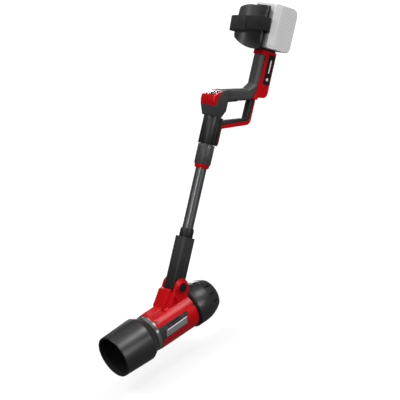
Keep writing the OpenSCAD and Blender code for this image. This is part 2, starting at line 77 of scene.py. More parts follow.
POLE = placed(ahead, sideways, up_pole, pivot)
HEAD = placed(Vector((1, 0, 0)), sideways, Vector((0, 0, 1)), pivot)
BLOWER = placed(Vector((1, 0, 0)), sideways, Vector((0, 0, 1)), axis_point)


# ---------------------------------------------------------------- materials

class Finish:
    """A node material grown from one Principled shader."""

    def __init__(self, name, roughness, metallic=0.0, coat=0.0, sheen=0.0, specular=0.5):
        self.material = bpy.data.materials.new(name)
        self.material.use_nodes = True
        self.tree = self.material.node_tree
        self.shader = self.tree.nodes["Principled BSDF"]
        for socket, value in (("Roughness", roughness), ("Metallic", metallic),
                              ("Coat Weight", coat), ("Coat Roughness", 0.1),
                              ("Sheen Weight", sheen), ("Specular IOR Level", specular)):
            self.shader.inputs[socket].default_value = value
        self.relief = None

    def node(self, kind, **settings):
        """A new node of that kind, with its settings."""
        made = self.tree.nodes.new(kind)
        for key, value in settings.items():
            setattr(made, key, value)
        return made

    def link(self, start, end):
        self.tree.links.new(start, end)

    def where(self, turn=(0, 0, 0), stretch=(1, 1, 1)):
        """The surface point in the row frame at rest, turned and stretched."""
        point = self.node("ShaderNodeTexCoord").outputs["Object"]
        mapping = self.node("ShaderNodeMapping")
        mapping.inputs["Rotation"].default_value = turn
        mapping.inputs["Scale"].default_value = stretch
        self.link(point, mapping.inputs["Vector"])
        return mapping.outputs["Vector"]

    def noise(self, scale, detail=3.0, vector=None):
        """Cloudy noise from 0 to 1. A larger scale makes it finer."""
        made = self.node("ShaderNodeTexNoise")
        made.inputs["Scale"].default_value = scale
        made.inputs["Detail"].default_value = detail
        self.link(vector or self.where(), made.inputs["Vector"])
        return made.outputs["Fac"]

    def wave(self, scale, vector, direction="X", profile="SIN", distortion=0.0):
        """Parallel bands from 0 to 1, one after the other along direction."""
        made = self.node("ShaderNodeTexWave", bands_direction=direction, wave_profile=profile)
        made.inputs["Scale"].default_value = scale
        made.inputs["Distortion"].default_value = distortion
        self.link(vector, made.inputs["Vector"])
        return made.outputs["Fac"]

    def spread(self, value, low, high, start=0.3, end=0.7):
        """value's stretch from start to end, mapped to low..high."""
        made = self.node("ShaderNodeMapRange")
        for socket, number in (("From Min", start), ("From Max", end),
                               ("To Min", low), ("To Max", high)):
            made.inputs[socket].default_value = number
        self.link(value, made.inputs["Value"])
        return made.outputs["Result"]

    def mixed(self, factor, first, second):
        """Colour that goes from the first to the second with factor."""
        made = self.node("ShaderNodeMix", data_type="RGBA")
        self.link(factor, made.inputs["Factor"])
        # Sockets 6, 7 and output 2 are the colour ones: the node has a set for each data type
        made.inputs[6].default_value = (*first, 1)
        made.inputs[7].default_value = (*second, 1)
        return made.outputs[2]

    def colour(self, value):
        self.link(value, self.shader.inputs["Base Color"])

    def roughness(self, value):
        self.link(value, self.shader.inputs["Roughness"])

    def bump(self, value, depth):
        """A relief of that depth in millimetres, on top of any that is there already."""
        made = self.node("ShaderNodeBump")
        made.inputs["Distance"].default_value = depth * MM
        made.inputs["Strength"].default_value = 1.0
        self.link(value, made.inputs["Height"])
        if self.relief:
            self.link(self.relief, made.inputs["Normal"])
        self.relief = made.outputs["Normal"]
        self.link(self.relief, self.shader.inputs["Normal"])


def moulded(name, dark, light, rough, grain=0.02, coat=0.0, spot=700, specular=0.35):
    """Moulded plastic: faint colour drift, a spark-eroded grain and uneven gloss."""
    made = Finish(name, sum(rough) / 2, coat=coat, specular=specular)
    drift = made.spread(made.noise(14, 4), 0, 1)
    fine = made.noise(spot, 4)
    made.colour(made.mixed(drift, dark, light))
    made.roughness(made.spread(made.noise(45, 5), *rough))
    made.bump(fine, grain)
    return made


def soft_touch(name, dark, light):
    """Over-moulded rubber with a pebbled skin."""
    made = Finish(name, 0.48, sheen=0.03, specular=0.5)
    cells = made.node("ShaderNodeTexVoronoi")
    cells.inputs["Scale"].default_value = 900
    made.link(made.where(), cells.inputs["Vector"])
    made.colour(made.mixed(made.spread(made.noise(18, 5), 0, 1), dark, light))
    made.roughness(made.spread(made.noise(60, 5), 0.38, 0.50))
    made.bump(cells.outputs["Distance"], 0.05)
    made.bump(made.noise(420, 4), 0.03)
    return made


def brushed(name, dark, light, rough, turn, stretch, metallic=1.0):
    """Metal with fine lines along the axis that stretch gives the smallest number."""
    made = Finish(name, sum(rough) / 2, metallic=metallic)
    lines = made.noise(1.0, 6, made.where(turn, stretch))
    made.colour(made.mixed(made.spread(lines, 0, 1), dark, light))
    made.roughness(made.spread(made.noise(70, 4), *rough))
    made.bump(lines, 0.01)
    return made


RIB_SLANT = math.radians(57.5)
RIBS_START, RIBS_FULL = -0.056, -0.066  # metres ahead of the row's origin, square to the pole


def battery_shell():
    """Pale plastic with fine slanting ribs on the flanks."""
    made = moulded("pale_plastic", (0.66, 0.66, 0.66), (0.74, 0.74, 0.74), (0.34, 0.46), 0.02)
    ribs = made.wave(44, made.where((0, lean - RIB_SLANT, 0)))
    # The ribs fade out towards the front of the flank
    across = made.node("ShaderNodeSeparateXYZ")
    made.link(made.where((0, lean, 0)), across.inputs[0])
    rear = made.node("ShaderNodeMath", operation="MULTIPLY")
    made.link(made.spread(across.outputs["X"], 1, 0, RIBS_FULL, RIBS_START), rear.inputs[0])
    made.link(ribs, rear.inputs[1])
    made.colour(made.mixed(rear.outputs[0], (0.78, 0.78, 0.78), (0.58, 0.58, 0.585)))
    made.bump(rear.outputs[0], 0.4)
    return made


def woven(name, dark, light, turn):
    """Webbing: fine picks across and ribs along, with a slight nap."""
    made = Finish(name, 0.85, sheen=0.15, specular=0.3)
    point = made.where(turn)
    picks = made.wave(300, point, "Z", "SIN", 0.4)
    ribs = made.wave(90, point, "Y", "TRI", 0.3)
    both = made.node("ShaderNodeMath", operation="MULTIPLY")
    made.link(picks, both.inputs[0])
    made.link(ribs, both.inputs[1])
    worn = made.spread(made.noise(30, 5), 0, 1)
    made.colour(made.mixed(worn, dark, light))
    made.bump(both.outputs[0], 0.35)
    made.bump(made.noise(1200, 3), 0.06)
    return made


def hatched(name, base, line):
    """Dark gloss panel with fine lines that run along the blower."""
    made = Finish(name, 0.22, coat=0.4)
    lines = made.wave(190, made.where(), "Z")
    made.colour(made.mixed(made.spread(lines, 0, 1, 0.55, 0.8), base, line))
    made.roughness(made.spread(made.noise(50, 4), 0.16, 0.30))
    made.bump(lines, 0.08)
    return made


pole_turn = (0, lean, 0)
red = moulded("red_plastic", (0.47, 0.0006, 0.003), (0.54, 0.0012, 0.005), (0.26, 0.36), 0.012,
              0.04, specular=0.18)
black = moulded("black_plastic", (0.008, 0.008, 0.0085), (0.013, 0.013, 0.0135), (0.40, 0.52),
                0.03)
# Painted light: the cuff and its screws get a lighter copy of the black plastic, a painted glow
# of soft light on the cuff
cuff_black_painted_glow = moulded("cuff_plastic_painted_glow", (0.030, 0.030, 0.0305), (0.038, 0.038, 0.0385), (0.34, 0.42),
                     0.03, specular=0.5)
# Painted highlight: the housing and lock sleeve get a lighter copy of the black plastic, for the
# light on their right faces
housing_black_painted_highlight = moulded("housing_plastic_painted_highlight", (0.038, 0.038, 0.0385), (0.050, 0.050, 0.0505),
                        (0.28, 0.38), 0.03, specular=0.5)
nozzle_black = moulded("nozzle_plastic", (0.016, 0.016, 0.0165), (0.022, 0.022, 0.0225),
                       (0.32, 0.40), 0.03, spot=500, specular=0.5)
inner = moulded("inner_plastic", (0.004, 0.004, 0.004), (0.008, 0.008, 0.008), (0.5, 0.65), 0.03,
                specular=0.2)
grip = soft_touch("soft_grip", (0.006, 0.006, 0.0065), (0.010, 0.010, 0.0105))
# Painted highlight: the grip sleeve is a lighter copy of the soft grip, for the light streaks
# along its front
sleeve_grip_painted_highlight = soft_touch("sleeve_grip_painted_highlight", (0.042, 0.042, 0.0425), (0.056, 0.056, 0.0565))
gloss = moulded("gloss_plastic", (0.004, 0.004, 0.0045), (0.008, 0.008, 0.0085), (0.12, 0.22),
                0.006, 0.3)
# Painted reflection: the glossy black collar is painted mid grey with a green cast, for the light
# it reflects; the gloss itself is real
collar_gloss_painted_reflection = moulded("collar_plastic_painted_reflection", (0.055, 0.058, 0.056), (0.085, 0.089, 0.086),
                       (0.14, 0.22), 0.008, 0.8, specular=0.8)
window_gloss = moulded("window_gloss", (0.15, 0.154, 0.152), (0.20, 0.204, 0.202), (0.16, 0.24),
                       0.006, 0.4)
pad_gloss = moulded("pad_gloss", (0.050, 0.010, 0.010), (0.085, 0.018, 0.018), (0.2, 0.3), 0.006,
                    0.2)
pale = battery_shell()
pale_plain = moulded("pale_button_plastic", (0.66, 0.66, 0.66), (0.76, 0.76, 0.76), (0.4, 0.5),
                     0.02)
tube = brushed("tube_aluminium", (0.095, 0.098, 0.102), (0.15, 0.153, 0.158), (0.28, 0.38),
               pole_turn, (900, 900, 6), 0.75)
steel = brushed("machined_steel", (0.42, 0.42, 0.43), (0.62, 0.62, 0.63), (0.22, 0.36),
                (0, 0, 0), (60, 60, 900))
# Partly painted reflection: the trim is only partly metallic, and its pale diffuse colour keeps
# it bright where chrome would show the dim surround
trim = brushed("trim_chrome_and_painted_reflection", (0.78, 0.78, 0.80), (0.88, 0.88, 0.90), (0.26, 0.36),
               (0, 0, 0), (20, 600, 600), 0.35)
dark_steel = brushed("blackened_steel", (0.02, 0.02, 0.021), (0.05, 0.05, 0.052), (0.3, 0.42),
                     (0, 0, 0), (60, 60, 900))
copper = brushed("copper_winding", (0.42, 0.17, 0.06), (0.66, 0.30, 0.12), (0.3, 0.45),
                 (0, 0, 0), (1400, 30, 30))
rubber = moulded("seal_rubber", (0.010, 0.010, 0.010), (0.016, 0.016, 0.016), (0.6, 0.75), 0.03)
board = moulded("board_coating", (0.012, 0.09, 0.045), (0.02, 0.14, 0.07), (0.25, 0.4), 0.02)
cell = moulded("cell_wrap", (0.08, 0.20, 0.42), (0.12, 0.27, 0.52), (0.25, 0.35), 0.01)
panel = hatched("panel_gloss", (0.008, 0.0085, 0.009), (0.05, 0.052, 0.055))
webbing = woven("webbing", (0.005, 0.005, 0.0055), (0.010, 0.010, 0.0105), pole_turn)
# Painted light: the free end is a lighter copy of the band's webbing, because it is the top layer
# that catches the light
webbing_painted_light = woven("webbing_flap_painted_light", (0.014, 0.014, 0.0145), (0.024, 0.024, 0.025), pole_turn)
thread = Finish("stitch_thread", 0.7)
thread.colour(thread.mixed(thread.noise(900), (0.05, 0.05, 0.052), (0.09, 0.09, 0.092)))
mark = moulded("mark_print", (0.70, 0.70, 0.70), (0.80, 0.80, 0.80), (0.3, 0.4), 0.004)


# ---------------------------------------------------------------- mesh work

def rounded(points, radius, steps=4):
    """A closed outline with round corners. radius is one number, or one for each point."""
    radii = radius if isinstance(radius, (list, tuple)) else [radius] * len(points)
    outline = []
    for i, reach in enumerate(radii):
        here = Vector(points[i])
        before = Vector(points[i - 1]) - here
        after = Vector(points[(i + 1) % len(points)]) - here
        half = before.angle(after) / 2
        # Neighbouring rounds never meet, because each takes under half of a side
        setback = min(reach / math.tan(half), before.length * 0.49, after.length * 0.49)
        if setback < 0.01:
            outline.append(here)
            continue
        start = here + before.normalized() * setback
        end = here + after.normalized() * setback
        for k in range(steps + 1):
            t = k / steps
            outline.append(start * (1 - t) ** 2 + here * 2 * t * (1 - t) + end * t * t)
    return outline


def arc(centre, radius, start, end, steps):
    """Points of an arc, angles in degrees."""
    turns = [math.radians(start + (end - start) * i / steps) for i in range(steps + 1)]
    return [(centre[0] + radius * math.cos(a), centre[1] + radius * math.sin(a)) for a in turns]


def circle(radius, steps):
    """Points of a full circle."""
    turns = [math.tau * i / steps for i in range(steps)]
    return [(radius * math.cos(a), radius * math.sin(a)) for a in turns]


def span(sign, near, far):
    """The lowest and highest y between two distances from the middle, on one side."""
    return sorted((sign * near, sign * far))


def lathe(profile, segments):
    """A closed outline of (radius, distance along X) turned round X."""
    made = bmesh.new()
    rings = []
    for i in range(segments):
        a = math.tau * i / segments
        rings.append([made.verts.new((x, r * math.cos(a), r * math.sin(a))) for r, x in profile])
    for i, ring in enumerate(rings):
        after = rings[(i + 1) % segments]
        for j in range(len(profile)):
            k = (j + 1) % len(profile)
            made.faces.new((ring[j], ring[k], after[k], after[j]))
    return made


def prism(outline, low, high, bevel=0.0, steps=3):
    """A side outline of (x, z) points made into a plate from y low to y high."""
    made = bmesh.new()
    base = [made.verts.new((x, low, z)) for x, z in outline]
    top = [made.verts.new((x, high, z)) for x, z in outline]
    made.faces.new(base)
    made.faces.new(list(reversed(top)))
    for i in range(len(outline)):
        k = (i + 1) % len(outline)
        made.faces.new((base[k], base[i], top[i], top[k]))
    if bevel:
        rims = [e for e in made.edges if abs(e.verts[0].co.y - e.verts[1].co.y) < 1e-6]
        bmesh.ops.bevel(made, geom=rims, offset=bevel, segments=steps, profile=0.5,
                        affect="EDGES", clamp_overlap=True)
    return made


def box_shape(low, high, bevel=0.0, steps=3):
    """A box from its lowest corner to its highest, with every edge rounded."""
    made = bmesh.new()
    size = Vector(high) - Vector(low)
    middle = (Vector(high) + Vector(low)) / 2
    bmesh.ops.create_cube(made, size=1)
    bmesh.ops.transform(made, matrix=Matrix.Translation(middle) @ Matrix.Diagonal((*size, 1)),
                        verts=made.verts)
    if bevel:
        bmesh.ops.bevel(made, geom=list(made.edges), offset=bevel, segments=steps, profile=0.5,
                        affect="EDGES", clamp_overlap=True)
    return made


def coil(radii, length, wire, turns):
    """A compression spring along Z, wound from the first radius to the second.

    wire is the radius of the wire.
    """
    steps, sides = 28, 10
    made = bmesh.new()
    rings = []
    count = round(steps * turns)
    for i in range(count + 1):
        t = i / count
        a = math.tau * turns * t
        r = radii[0] + (radii[1] - radii[0]) * t
        z = wire + (length - 2 * wire) * t
        rings.append([made.verts.new(((r + wire * math.cos(b)) * math.cos(a),
                                      (r + wire * math.cos(b)) * math.sin(a),
                                      z + wire * math.sin(b)))
                      for b in [math.tau * j / sides for j in range(sides)]])
    for first, second in zip(rings, rings[1:]):
        for j in range(sides):
            k = (j + 1) % sides
            made.faces.new((first[j], first[k], second[k], second[j]))
    made.faces.new(rings[0])
    made.faces.new(list(reversed(rings[-1])))
    return made


def thing(name, shape, matrix):
    """An object made of a bmesh that is in a frame of millimetres."""
    bmesh.ops.recalc_face_normals(shape, faces=shape.faces)
    mesh = bpy.data.meshes.new(name)
    shape.to_mesh(mesh)
    shape.free()
    mesh.transform(matrix)
    made = bpy.data.objects.new(name, mesh)
    bpy.context.scene.collection.objects.link(made)
    return made


def copied(node):
    """A free copy of a CAD node's mesh."""
    made = bpy.data.objects.new(node + "_copy", nodes[node].data.copy())
    bpy.context.scene.collection.objects.link(made)
    return made


def settle(piece):
    """Applies a piece's modifiers."""
    graph = bpy.context.evaluated_depsgraph_get()
    mesh = bpy.data.meshes.new_from_object(piece.evaluated_get(graph))
    piece.modifiers.clear()
    piece.data = mesh


def melt(name, parts, voxel, passes, keep):
    """One skin round closed solids that touch, with its joins and edges softened.

    voxel is in millimetres, and keep is the share of the triangles that stays.
    """
    joined = bmesh.new()
    for part in parts:
        joined.from_mesh(part.data)
        bpy.data.objects.remove(part)
    made = thing(name, joined, Matrix.Identity(4))
    skin = made.modifiers.new("skin", "REMESH")
    skin.mode = "VOXEL"
    skin.voxel_size = voxel * MM
    soften = made.modifiers.new("soften", "SMOOTH")
    soften.factor = 0.5
    soften.iterations = passes
    thin = made.modifiers.new("thin", "DECIMATE")
    thin.ratio = keep
    settle(made)
    return made


def cut(piece, *cutters):
    """Cuts closed shapes out of a piece."""
    for cutter in cutters:
        removal = piece.modifiers.new("cut", "BOOLEAN")
        removal.operation = "DIFFERENCE"
        removal.solver = "EXACT"
        removal.object = cutter
    settle(piece)
    for cutter in cutters:
        bpy.data.objects.remove(cutter)


CREASE = 35


def smooth_faces(mesh, angle):
    """Smooth shading, with an edge where faces meet at more than that angle."""
    mesh.shade_smooth()
    mesh.set_sharp_from_angle(angle=math.radians(angle))


def finish_piece(piece, finish, body, stands_for=(), angle=CREASE):
    """Gives a piece its material, its CAD body and the CAD nodes that it stands for."""
    piece.data.materials.clear()
    piece.data.materials.append(finish.material)
    smooth_faces(piece.data, angle)
    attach(piece, body)
    if stands_for:
        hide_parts(*stands_for)


def dress(node, finish, edge=0.0):
    """A CAD node keeps its shape and gets a material, and a fine round on its edges."""
    piece = nodes[node]
    piece.data.materials.clear()
    piece.data.materials.append(finish.material)
    smooth_faces(piece.data, CREASE)
    if edge:
        weld = piece.modifiers.new("weld", "WELD")
        weld.merge_threshold = 0.00002
        bevel = piece.modifiers.new("edge", "BEVEL")
        bevel.width = edge * MM
        bevel.segments = 2
        bevel.limit_method = "ANGLE"
        bevel.angle_limit = math.radians(40)
        bevel.use_clamp_overlap = True


# ---------------------------------------------------------------- camera and light

CAMERA_ROLL = math.radians(12.8)
CAMERA_DISTANCE = 5.5
AIM = (-19.6, 0, 240.9)  # in the POLE frame
AIM_RIGHT, AIM_DOWN = 0.0003, 0.0022


def add_camera():
    """A long lens at the photograph's angle: from the left, ahead and a little above."""
    away = (ahead * 0.65 + sideways * 0.76).normalized()
    level = up_pole.cross(away)
    right = level * math.cos(CAMERA_ROLL) + up_pole * math.sin(CAMERA_ROLL)
    upward = up_pole * math.cos(CAMERA_ROLL) - level * math.sin(CAMERA_ROLL)
    target = POLE @ Vector(AIM) + right * AIM_RIGHT - upward * AIM_DOWN
    lens = bpy.data.cameras.new("camera")
    lens.sensor_width = 36
    lens.lens = 183.2
    lens.clip_end = 100
    camera = bpy.data.objects.new("camera", lens)
    turn = Matrix((right, upward, away)).transposed().to_4x4()
    camera.matrix_world = Matrix.Translation(target + away * CAMERA_DISTANCE) @ turn
    bpy.context.scene.collection.objects.link(camera)
    bpy.context.scene.camera = camera
    return right, upward, away


def add_sun(name, towards, strength, spread):
    """A distant soft light that comes from the direction towards."""
    light = bpy.data.lights.new(name, "SUN")
    light.energy = strength
    light.angle = math.radians(spread)
    made = bpy.data.objects.new(name, light)
    made.rotation_mode = "QUATERNION"
    made.rotation_quaternion = towards.to_track_quat("Z", "Y")
    bpy.context.scene.collection.objects.link(made)


FLOOR_DROP = 0.125  # metres below the blower's axis
FLOOR_SIZE, BACKDROP_RADIUS = 40, 30


def paper(name, dark, light, glow):
    """Matt paper that glows white, so that it looks lit from everywhere."""
    made = Finish(name, 0.9, specular=0.0)
    made.colour(made.mixed(made.noise(3), (dark, dark, dark), (light, light, light)))
    made.shader.inputs["Emission Color"].default_value = (1, 1, 1, 1)
    made.shader.inputs["Emission Strength"].default_value = glow
    return made.material


def add_stage():
    """A plain pale floor and backdrop, and soft light from all round."""
    right, upward, away = add_camera()
    shape = bmesh.new()
    bmesh.ops.create_grid(shape, x_segments=2, y_segments=2, size=FLOOR_SIZE)
    floor = thing("floor", shape, Matrix.Translation((0, 0, axis_point.z - FLOOR_DROP)))
    floor.data.materials.append(paper("floor_paper", 0.30, 0.31, 0.74))
    shape = bmesh.new()
    bmesh.ops.create_uvsphere(shape, u_segments=64, v_segments=32, radius=BACKDROP_RADIUS)
    backdrop = thing("backdrop", shape, Matrix.Identity(4))
    backdrop.data.materials.append(paper("backdrop_paper", 0.02, 0.03, 1.0))
    backdrop.visible_shadow = False
    # The tool reflects the dim surround, not the paper
    for sheet in (floor, backdrop):
        sheet.visible_glossy = False
        sheet.visible_diffuse = False
    world = bpy.data.worlds.new("world")
    world.use_nodes = True
    sky = world.node_tree.nodes["Background"]
    sky.inputs["Color"].default_value = (1, 1, 1, 1)
    sky.inputs["Strength"].default_value = 0.13
    bpy.context.scene.world = world
    bpy.context.scene.view_settings.view_transform = "Standard"
    add_sun("overhead", Vector((0.05, 0.05, 1)), 0.9, 80)
    add_sun("back", Vector((-0.52, 0.43, 0.74)), 1.3, 20)
    add_sun("key", upward * 0.75 - right * 0.75 + away * 0.45, 0.98, 20)
    add_sun("front", away - right * 0.35 + upward * 0.1, 0.6, 12)
    add_sun("fill", right * 0.75 + away * 0.75 + upward * 0.15, 0.95, 20)
    add_sun("behind", Vector((-0.6, -0.8, 0.1)), 0.4, 8)


add_stage()


# ---------------------------------------------------------------- blower head

HEAD_R = 53
HEAD_BACK, HEAD_FRONT = -12, 121
EAR_IN, EAR_OUT, EAR_R = 21.4, 29.5, 22
FIELD_ANGLE = 27
BOSS_R, WELL_R, PIN_HOLE_R, SCREW_HOLE_R = 15.6, 12.3, 6, 3.8
RECESS_DEPTH, PANEL_DEPTH = 2.1, 1.9
# Side outlines, (x, z): the ear's pocket in HEAD, the others in BLOWER
EAR_POCKET = [(30, -12), (26, -35), (45, -34)]
PANEL = [(122, 24), (17, 22.5), (24.5, 6), (28, -10.5), (109.5, -12), (122, -18.5)]
WINDOW = [(102.5, 7.4), (27, 8.6), (29, 3), (31.5, -8.3), (108.3, -9.5)]
TRIM = [(99, 6.3), (99, 8.9), (27, 10.4), (27, 7.8)]
# Screw holes: the place along the barrel, and the angle round it from the left side
HEAD_SCREWS = [(114.5, 45), (114.5, -45), (-8, 30), (-8, -35), (114.5, 135), (114.5, 225),
               (-8, 150), (-8, 215)]


def round_axis(matrix, angle):
    """The frame of matrix, turned round its own X by an angle in degrees."""
    return matrix @ Matrix.Rotation(math.radians(angle), 4, "X")


def ear_outline():
    """The ear's side: a round top, then a flared foot that sinks into the barrel."""
    return arc((-2.5, -1), EAR_R, 42, 180, 20) + [(-23.5, -12), (-18, -25.5), (HEAD_BACK, -26),
                                              (HEAD_BACK, -45), (66, -45), (56, -31)]


def side_patch(name, outline, inner_r, outer_r, sign):
    """A side outline laid on the barrel between two radii, on the side of sign."""
    shell = [(inner_r, 5), (outer_r, 5), (outer_r, 130), (inner_r, 130)]
    ring = thing(name, lathe(shell, 160), BLOWER)
    block = thing("side_block", prism(outline, *span(sign, 20, 80)), BLOWER)
    inside = ring.modifiers.new("inside", "BOOLEAN")
    inside.operation = "INTERSECT"
    inside.solver = "EXACT"
    inside.object = block
    settle(ring)
    bpy.data.objects.remove(block)
    return ring


def casing_solids():
    """Barrel, ears, gussets, web, deck and pivot boss, as solids that overlap."""
    barrel = rounded([(44, HEAD_BACK), (HEAD_R, HEAD_BACK), (HEAD_R, HEAD_FRONT),
                      (44, HEAD_FRONT)], [0.5, 1.5, 2, 0.5])
    parts = [thing("barrel", lathe(barrel, 200), BLOWER)]
    for sign in (1, -1):
        ear = prism(ear_outline(), *span(sign, EAR_IN, EAR_OUT), 1.6)
        parts.append(thing("ear", ear, HEAD))
        # Gusset: the ear widens towards the barrel
        fill = [(HEAD_BACK, -36), (HEAD_BACK, -62), (46, -62), (26, -38)]
        parts.append(thing("gusset", prism(fill, *span(sign, EAR_IN + 1, 32), 4), HEAD))
    web = [(36, 7), (38.4, 6.2), (76, -30), (80, -45), (44, -45), (44, -33), (27, 6)]
    parts.append(thing("web", prism(web, -EAR_IN - 0.5, EAR_IN + 0.5), HEAD))
    deck = box_shape((58, -15.5, 44), (HEAD_FRONT - 3, 15.5, HEAD_R + 0.4), 1.2, 2)
    parts.append(thing("deck", deck, BLOWER))
    parts.append(thing("boss", prism(circle(BOSS_R, 72), EAR_OUT - 3, 35.5, 1.2), HEAD))
    return parts


def casing_recesses():
    """Panel seats, ear pockets, fields beside the deck, and the holes for screws and pin."""
    recess = []
    for sign in (1, -1):
        seat = rounded(PANEL, [0, 3.4, 3.4, 4.4, 2, 0], 3)
        recess.append(side_patch("recess", seat, HEAD_R - RECESS_DEPTH, HEAD_R + 5, sign))
        pocket = prism(rounded(EAR_POCKET, 2.5), *span(sign, EAR_OUT - 4, 60))
        recess.append(thing("pocket", pocket, HEAD))
        field = box_shape((72, -7.2, HEAD_R - 4.2), (113, 7.2, HEAD_R + 8), 1.0, 2)
        recess.append(thing("field", field, round_axis(BLOWER, -sign * FIELD_ANGLE)))
    for x, angle in HEAD_SCREWS:
        hole = prism(circle(SCREW_HOLE_R, 32), HEAD_R - 1.6, HEAD_R + 9)
        matrix = round_axis(BLOWER @ Matrix.Translation((x, 0, 0)), angle)
        recess.append(thing("screw_hole", hole, matrix))
    recess.append(thing("well", prism(circle(WELL_R, 64), 25.5, 60), HEAD))
    recess.append(thing("pin_hole", prism(circle(PIN_HOLE_R, 40), -60, 40), HEAD))
    return recess


def casing():
    """The red head casing in one skin."""
    made = melt("head_casing", casing_solids(), 1.15, 7, 0.5)
    cut(made, *casing_recesses())
    finish_piece(made, red, "blower_head",
                 ("head_shell_left", "head_shell_right"), 28)


def nozzle():
    """The round nozzle: a shoulder, a slow taper and a thin lip at the mouth."""
    outline = [(44.7, 134.3), (50, 134.3), (58, 148.5), (62.4, 157), (59.2, 252.6), (58.8, 253.4),
               (58.3, 253.4), (58.2, 250), (56.5, 250), (56.4, 253.4), (55.9, 254), (55.1, 254),
               (54.6, 253.4), (54.6, 240), (57.2, 238), (57.6, 160), (44.7, 147.5)]
    radii = [0.4, 4, 7, 7, 0.5, 0.2, 0.2, 0.2, 0.2, 0.4, 0.3, 0.3, 0.5, 2, 2, 6, 1]
    made = thing("nozzle_shell", lathe(rounded(outline, radii, 5), 180), BLOWER)
    finish_piece(made, nozzle_black, "nozzle", ("nozzle",))
    # Painted shade: a thin sheet of the darkest plastic just inside the bore, so the nozzle's
    # inside looks darker back from the mouth
    bore_shade = lathe([(57.45, 161), (57.05, 241.5), (56.7, 241.5), (57.1, 161)], 120)
    finish_piece(thing("nozzle_bore_shade", bore_shade, BLOWER), inner, "nozzle")


def collar():
    """The glossy neck between the casing and the nozzle."""
    outline = [(41, 120), (50.3, 120), (52.3, 121.4), (52.2, 124), (51.6, 124.8), (51.6, 125.8),
               (52, 126.4), (50.4, 133.4), (44, 133.4), (44, 146), (41, 146)]
    radii = [0, 0.5, 0.6, 0.5, 0.3, 0.3, 0.5, 1, 0.2, 0.5, 0.3]
    made = thing("neck_collar", lathe(rounded(outline, radii, 4), 180), BLOWER)
    finish_piece(made, collar_gloss_painted_reflection, "blower_head", ("outlet_collar",))


def panels():
    """A grooved dark panel on each side, with a smoked strip under a bright line."""
    for side, sign in (("left", 1), ("right", -1)):
        made = side_patch("side_panel_" + side, rounded(PANEL, [0, 3, 3, 4, 2, 0], 3),
                          HEAD_R - PANEL_DEPTH, HEAD_R + 0.15, sign)
        low, high = span(sign, 20, 70)
        cut(made, *[thing("groove", box_shape((44, low, z - 0.4), (96, high, z + 0.4)), BLOWER)
                    for z in (12, 14, 16, 18, 20)])
        finish_piece(made, panel, "blower_head", ("side_panels",))
        made = side_patch("window_" + side, rounded(WINDOW, 2, 3), HEAD_R - 0.4, HEAD_R + 0.4,
                          sign)
        finish_piece(made, window_gloss, "blower_head")
        made = side_patch("panel_trim_" + side, rounded(TRIM, 0.9, 3), HEAD_R - 0.4, HEAD_R + 0.9,
                          sign)
        finish_piece(made, trim, "blower_head", ("panel_trims",))


def screen():
    """Fine hoops behind the slots of the intake cap."""
    made = bmesh.new()
    profile = [(-90, 41.6), (-88, 42.9), (-74.5, 48.7), (-61, 52.7)]
    hoops, pitch = 16, 1.8
    for i in range(hoops):
        x = profile[0][0] + pitch * i
        k = max(j for j in range(len(profile) - 1) if profile[j][0] <= x)
        (x0, r0), (x1, r1) = profile[k], profile[k + 1]
        r = r0 + (r1 - r0) * (x - x0) / (x1 - x0)
        hoop = lathe([(r - 0.6, x), (r, x), (r, x + 1), (r - 0.6, x + 1)], 96)
        mesh = bpy.data.meshes.new("hoop")
        hoop.to_mesh(mesh)
        hoop.free()
        made.from_mesh(mesh)
        bpy.data.meshes.remove(mesh)
    finish_piece(thing("intake_screen", made, BLOWER), inner, "blower_head")


def head_details():
    """The rest of the head keeps its CAD shapes, with a real coil for the button's spring."""
    dress("intake_ring", inner, 0.6)
    dress("intake_cap", nozzle_black, 0.5)
    for node in ("duct", "guide_vanes", "tail_cone", "fan"):
        dress(node, inner, 0.3)
    dress("blower_screws", dark_steel, 0.15)
    for node in ("motor_can", "pivot_pin", "fan_nut", "motor_shaft", "bearings", "pivot_block"):
        dress(node, steel, 0.15)
    dress("stator", copper)
    dress("rotor_magnet", steel)
    dress("nozzle_seal", rubber)
    dress("pivot_washers", pale_plain)
    dress("tilt_button", gloss, 0.8)
    seat, length, travel = 25.7, 5.3, 4
    place = HEAD @ Matrix.Translation((0, seat, 0)) @ Matrix.Rotation(math.radians(-90), 4, "X")
    spring = thing("tilt_coil", coil((9.4, 6.2), length, 0.45, 2.5), place)
    finish_piece(spring, steel, "blower_head", ("tilt_spring",))
    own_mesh(spring)


casing()
nozzle()
collar()
panels()
screen()
head_details()


# ---------------------------------------------------------------- pole

def pole_details():
    """The pole keeps its CAD shapes."""
    dress("lower_tube", tube)
    dress("outer_tube", tube)
    dress("lower_collar", black, 0.6)
    dress("lower_grip", grip, 0.8)
    dress("lock_sleeve", housing_black_painted_highlight, 0.6)
    dress("lock_ring", red, 0.5)
    dress("fore_grip", grip, 0.8)
    dress("collet", black)
    dress("guide_bush", black)
    dress("coiled_lead", rubber)


pole_details()


# ---------------------------------------------------------------- D handle

